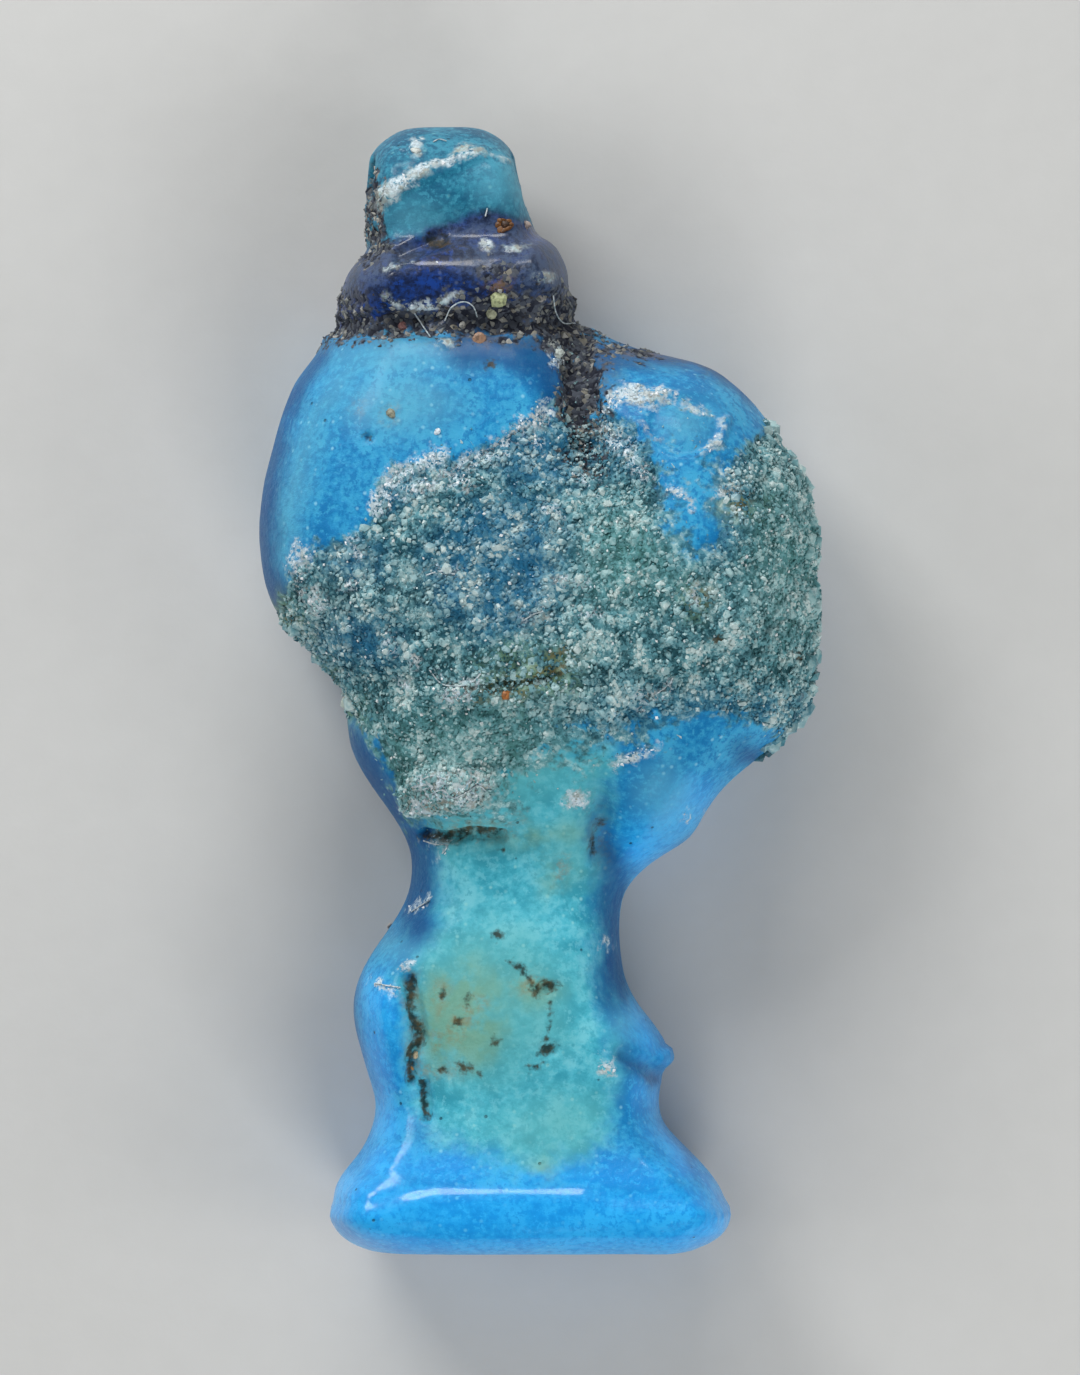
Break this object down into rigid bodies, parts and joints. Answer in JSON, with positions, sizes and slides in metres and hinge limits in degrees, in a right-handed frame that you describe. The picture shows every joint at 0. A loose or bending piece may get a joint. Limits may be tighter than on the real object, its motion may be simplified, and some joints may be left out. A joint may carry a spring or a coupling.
{
  "type": "deity amulet",
  "caption": "Small moulded amulet of a squat deity on a plinth, with a bored loop on its crown for hanging, worn and broken in front, lying on its flat back.",
  "frame": {"origin": "on the surface that the amulet lies on, under the middle of its outline", "axes": "+Y from the plinth up to the loop, +Z out of the face, +X to the viewer's right when the face is seen with the loop at the top"},
  "size_m": [0.009, 0.018, 0.0044],
  "materials": {
    "blue_glaze": "glossy bright blue alkaline glaze, weathered to matt turquoise on the legs, lost over the bared quartz core of the chest, dark with soil in its hollows"
  },
  "bodies": {
    "root": {"amulet_figure": "blue_glaze"}
  },
  "joints": []
}
